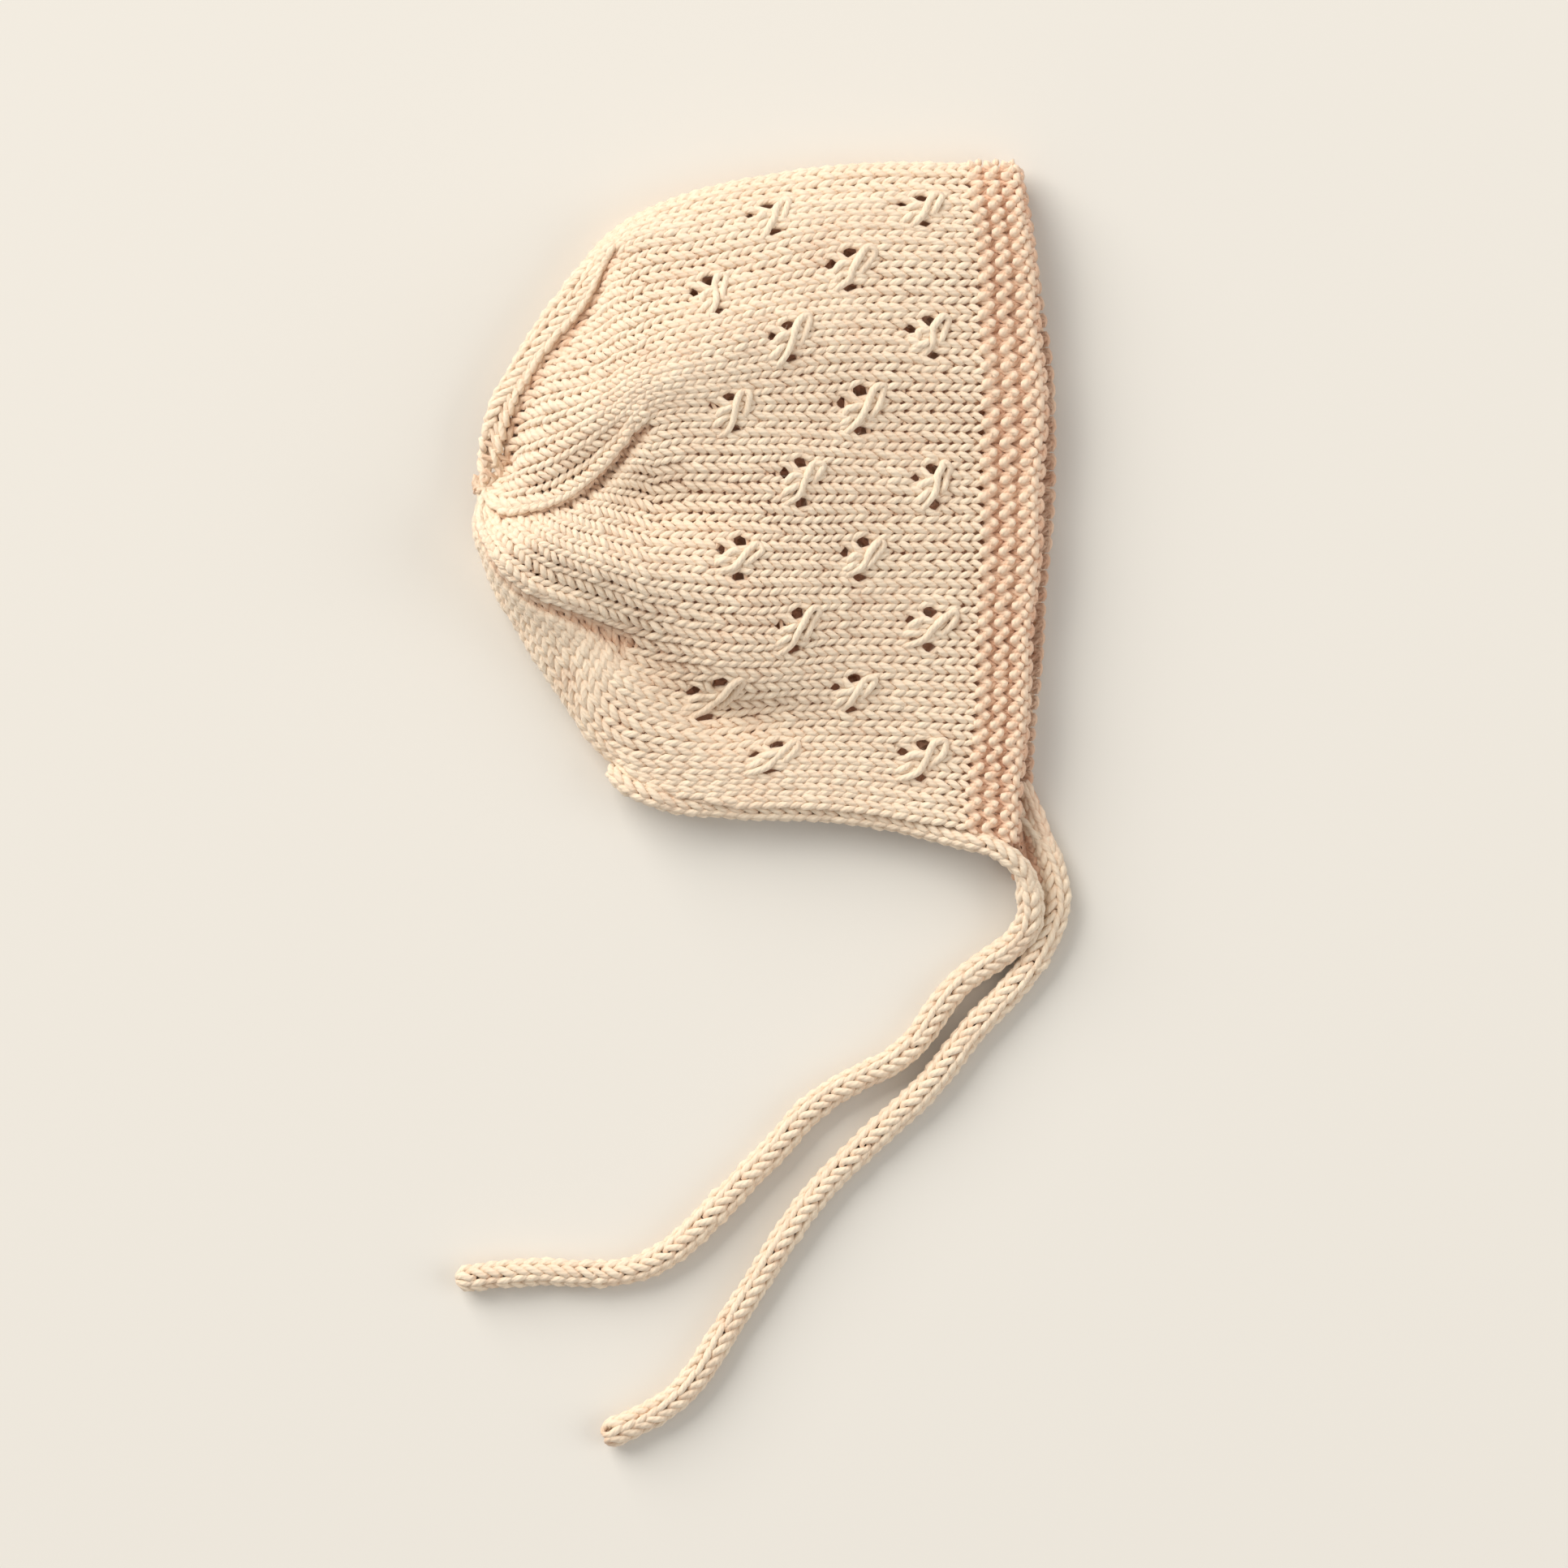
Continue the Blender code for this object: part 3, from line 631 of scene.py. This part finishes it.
stocking = knit_loop(0.26, 0.90, 0.00050, 0.08)
for layer, name in ((1, "lace_upper"), (-1, "lace_lower")):
    lines = []
    for course in range(BAND_COURSES, CROWN_FIRST):
        points = course_of(stocking, 0 if layer > 0 else -SIDE_WALES, SIDE_WALES, course)
        # The first courses are drawn up to the band.
        points[:, 1] -= 0.45 * math.exp((BAND_COURSES - course) / 4.0)
        open_eyelets(points, holes)
        points = points[bonnet.drift(points[:, 0], points[:, 1])[0] <= 1.0]
        lines.append(lay_on(bonnet, points, WALL / 2))
    if layer < 0:
        flat_under(lines)
    yarn_mesh(name, lines, cream if layer > 0 else inside, ["crown"])

# Strands drawn across each motif by its decreases.
lines = []
for wale, course in motifs():
    for side in (1, -1):
        turn, size = chance.normal(0.0, 0.15), chance.normal(1.0, 0.07)
        for strand in MOTIF_STRANDS:
            strand = np.array(strand) * (size, size, 1.0) + chance.normal(0.0, 0.22, (len(strand), 3))
            knots = np.arange(len(strand), dtype=float)
            places = np.linspace(0, knots[-1], STRAND_POINTS)
            smooth = through(knots, strand, slopes(knots, strand), places)
            face = smooth[:, 0] * math.cos(turn) - smooth[:, 1] * math.sin(turn)
            up = smooth[:, 1] * math.cos(turn) + smooth[:, 0] * math.sin(turn)
            points = np.column_stack([side * wale - up * 0.001 / STITCH_WIDTH,
                                      course - face * 0.001 / STITCH_HEIGHT,
                                      smooth[:, 2] * 0.001,
                                      0.78 + 0.20 * np.sin(np.linspace(0, math.pi, STRAND_POINTS))])
            lines.append(lay_on(bonnet, points, 0.0009 if side > 0 else WALL / 2 + 0.0009))
flat_under(lines)
yarn_mesh("lace_strands", lines, cream)

# Crown: six wedges, each losing a stitch every second course.
crown_loop = knit_loop(0.26, 0.90, 0.00050, 0.12)
lines = []
for course in range(CROWN_COURSES):
    for low, high in zip((-11,) + RIB_WALES[:-1], RIB_WALES):
        full = high - low

        def spread(wales, courses, full=full, high=high):
            left = full - (full - 2) * np.clip((courses - CROWN_FIRST) / CROWN_COURSES, 0, 1)
            return high + np.maximum(wales / left, -1.0) * full

        count = math.ceil(full - (full - 2) * (course + 0.5) / CROWN_COURSES)
        points = course_of(crown_loop, -count, count, CROWN_FIRST + course)
        line, thickness, shade_depth = lay_on(bonnet, points, WALL / 2, spread)
        spot = spread(points[:, 0], points[:, 1])
        groove = np.exp(-((spot - low - 0.4) / 0.6) ** 2)
        ridge = np.exp(-((spot - high + 0.9) / 1.1) ** 2)
        line[:, 2] += (0.0007 * ridge - 0.0012 * groove) * np.sign(line[:, 2] - 0.006)
        # Painted shade: the yarn in the groove beside each rib is also coloured as if it lay deeper.
        lines.append((line, thickness, np.minimum(shade_depth + groove, 1.0)))
flat_under(lines)
yarn_mesh("crown_knit", lines, cream)

# Ribs of the crown: the decreases of each wedge lie over one another like a rope.
lines = []
for rib in RIB_WALES:
    for course in np.arange(CROWN_FIRST - 0.5, COURSES - 1.5, 0.85):
        s = np.linspace(0.0, 1.0, 12)
        room = 1.0 - (1.0 - GATHERED_SHARE) * np.clip((course - CROWN_FIRST) / CROWN_COURSES, 0, 1)
        off = -0.42 + 0.36 * (s - 0.5) + chance.normal(0.0, 0.03)
        points = np.column_stack([rib + off / room, course + 1.9 * s,
                                  0.0012 * np.sin(math.pi * s) ** 0.7 - 0.0009,
                                  0.55 + 0.23 * np.sin(math.pi * s)])
        lines.append(lay_on(bonnet, points, WALL / 2 - 0.0005))
flat_under(lines)
yarn_mesh("crown_ribs", lines, cream)

# Garter band.
lines = []
for course in range(BAND_COURSES):
    front = 1.0 if course % 2 == 0 else -1.0
    loop = garter_loop(-0.03, 1.04, 0.00120, front, 0.20 if front > 0 else 0.03)
    points = course_of(loop, -SIDE_WALES, 2 * SIDE_WALES, course)
    lines.append(lay_on(bonnet, points, 0.0011))
edge = course_of(garter_loop(0.16, 0.35, 0.0006, 1.0, 0.0), -SIDE_WALES, 2 * SIDE_WALES, -0.75)
lines.append(lay_on(bonnet, edge, 0.0016))
flat_under(lines)
yarn_mesh("band_knit", lines, rosy, ["front_band"])


def smooth_path(points, count):
    points = np.asarray(points)
    knots = np.concatenate([[0.0], np.cumsum(np.linalg.norm(np.diff(points, axis=0), axis=1))])
    return through(knots, points, slopes(knots, points), np.linspace(0, knots[-1], count))


def tie_path(route):
    shares = np.array(route) - (MIDDLE_ACROSS, MIDDLE_UP, 0.0)
    return smooth_path(shares * (BONNET_DEPTH, BONNET_HEIGHT, TIE_DIAMETER), 160)


def edging_path(upper_tie, lower_tie):
    """Middle of the cord knitted on round the neck edge, from inside the upper tie to inside the lower."""
    along = np.linspace(0.055, EDGING_TURN, 14)
    sides = []
    for side in (1.0, -1.0):
        step = 0.01
        around = np.full(14, side)
        middle = bonnet.place(around, along)[0]
        run = bonnet.place(around, along + step)[0] - bonnet.place(around, along - step)[0]
        beside = unit(np.column_stack([-run[:, 1], run[:, 0], np.zeros(14)]))
        tuck = EDGING_TUCK * ease(along / 0.22) * ease((0.56 - along) / 0.12) * max(side, 0.0)
        reach = (EDGING_DIAMETER / 2 - 0.0004 + WALL / 2 * np.sin(tuck))[:, None]
        tuck = tuck[:, None]
        down = np.array([0.0, 0.0, -1.0])
        middle = middle + down * WALL / 2 * side + (beside * np.cos(tuck) + down * np.sin(tuck)) * reach
        middle[:, 2] = np.maximum(middle[:, 2], EDGING_DIAMETER / 2)
        sides.append(middle)
    upper, lower = sides[0], sides[1][::-1]
    middle = (upper[-1] + lower[0]) / 2
    back = bonnet.place(np.array([1.0]), np.array([CROWN_START]))[0][0]
    back = back - bonnet.place(np.array([1.0]), np.array([EDGING_TURN]))[0][0]
    back[2] = 0.0
    back = unit(back) * np.linalg.norm(upper[-1] - lower[0]) / 2
    nape = [middle + (upper[-1] - middle) * math.cos(a) + back * math.sin(a)
            for a in np.radians((45.0, 90.0, 135.0))]
    return smooth_path([*upper_tie, *upper, *nape, *lower, *lower_tie], 260)


# Edging and ties, one knitted cord from the upper tie's tip round the neck to the lower tie's tip.
cord_loop = knit_loop(0.26, 0.90, 0.00045, 0.16)
upper_tie, lower_tie = tie_path(TIE_UPPER_ROUTE), tie_path(TIE_LOWER_ROUTE)

edging = edging_path(upper_tie[:30:10][::-1], lower_tie[:30:10])
cord = Cord(edging, EDGING_RING_RADIUS, EDGING_WALES, CORD_COURSE, (70.0, 60.0), ("joined", "joined"))
lines = [lay_on(cord, course_of(cord_loop, 0, EDGING_WALES, course), 0.0) for course in range(cord.courses())]
flat_under(lines)
yarn_mesh("neck_cord", lines, cream, ["neck_edging"])

# Inside of the lower layer's front corner, seen from its purl side beside the ties.
corner = Patch(((0.0645, -0.0790, 0.0030), (0.0560, -0.0790, 0.0030),
                (0.0600, -0.0600, 0.0034), (0.0530, -0.0600, 0.0034)), 3.0, CORNER_COURSES)
lines = []
for course in range(CORNER_COURSES):
    points = course_of(garter_loop(-0.03, 1.0, 0.0007, -1.0, 0.0), 0, 3, course)
    line, thickness, shade_depth = lay_on(corner, points, 0.0)
    # Painted shade: all its yarn is coloured as if it lay deep in the cloth.
    lines.append((line, thickness, np.full(len(shade_depth), 0.9)))
column = Cord(smooth_path([(0.0578, -0.0590, 0.0040), (0.0606, -0.0650, 0.0036), (0.0632, -0.0705, 0.0034),
                           (0.0652, -0.0765, 0.0032), (0.0662, -0.0820, 0.0030)], 60),
              0.0009, 3, CORD_COURSE, (90.0, 90.0), ("joined", "joined"))
lines += [lay_on(column, course_of(cord_loop, 0, 3, course), 0.0) for course in range(column.courses())]
flat_under(lines)
yarn_mesh("corner_knit", lines, rosy)

for path, ends, turn, name, node in (
        (upper_tie, ("free", "joined"), (0.0, 70.0), "tie_upper_cord", "tie_upper"),
        (lower_tie, ("joined", "free"), (60.0, -20.0), "tie_lower_cord", "tie_lower")):
    knitted = path if ends[0] == "joined" else path[::-1]
    cord = Cord(knitted, TIE_RING_RADIUS, TIE_WALES, CORD_COURSE, turn, ends)
    lines = [lay_on(cord, course_of(cord_loop, 0, TIE_WALES, course), 0.0)
             for course in range(cord.courses())]
    flat_under(lines)
    tie = yarn_mesh(name, lines, cream, [node])

# Fuzz of the spun cotton.
fuzz_mesh("fuzz", in_sight, FIBRES, cream)

# Floor.
bpy.ops.mesh.primitive_plane_add(size=6.0, location=(0.0, 0.0, 0.0))
floor = bpy.context.object
floor.name = "floor"
paper = bpy.data.materials.new("matt white paper")
paper.use_nodes = True
paper.node_tree.nodes["Principled BSDF"].inputs["Base Color"].default_value = srgb("E3DFD7")
paper.node_tree.nodes["Principled BSDF"].inputs["Roughness"].default_value = 0.9
floor.data.materials.append(paper)

# Soft light from the upper left.
bpy.ops.object.light_add(type="AREA", location=(-3.0, 3.0, 2.8))
key = bpy.context.object
key.data.size = 4.2
key.data.energy = 312.0
key.data.color = (1.0, 0.965, 0.92)
key.rotation_euler = (Vector((0.0, -0.05, 0.0)) - key.location).to_track_quat("-Z", "Y").to_euler()
# Pale wall of the room, to the right.
bpy.ops.object.light_add(type="AREA", location=(2.5, -0.3, 1.6))
fill = bpy.context.object
fill.data.size = 2.0
fill.data.energy = 24.0
fill.rotation_euler = (Vector((0.0, -0.05, 0.0)) - fill.location).to_track_quat("-Z", "Y").to_euler()
world = bpy.data.worlds.new("pale room")
world.use_nodes = True
world.node_tree.nodes["Background"].inputs["Color"].default_value = (1.0, 0.985, 0.96, 1.0)
world.node_tree.nodes["Background"].inputs["Strength"].default_value = 0.45
bpy.context.scene.world = world
bpy.context.scene.view_settings.view_transform = "Standard"
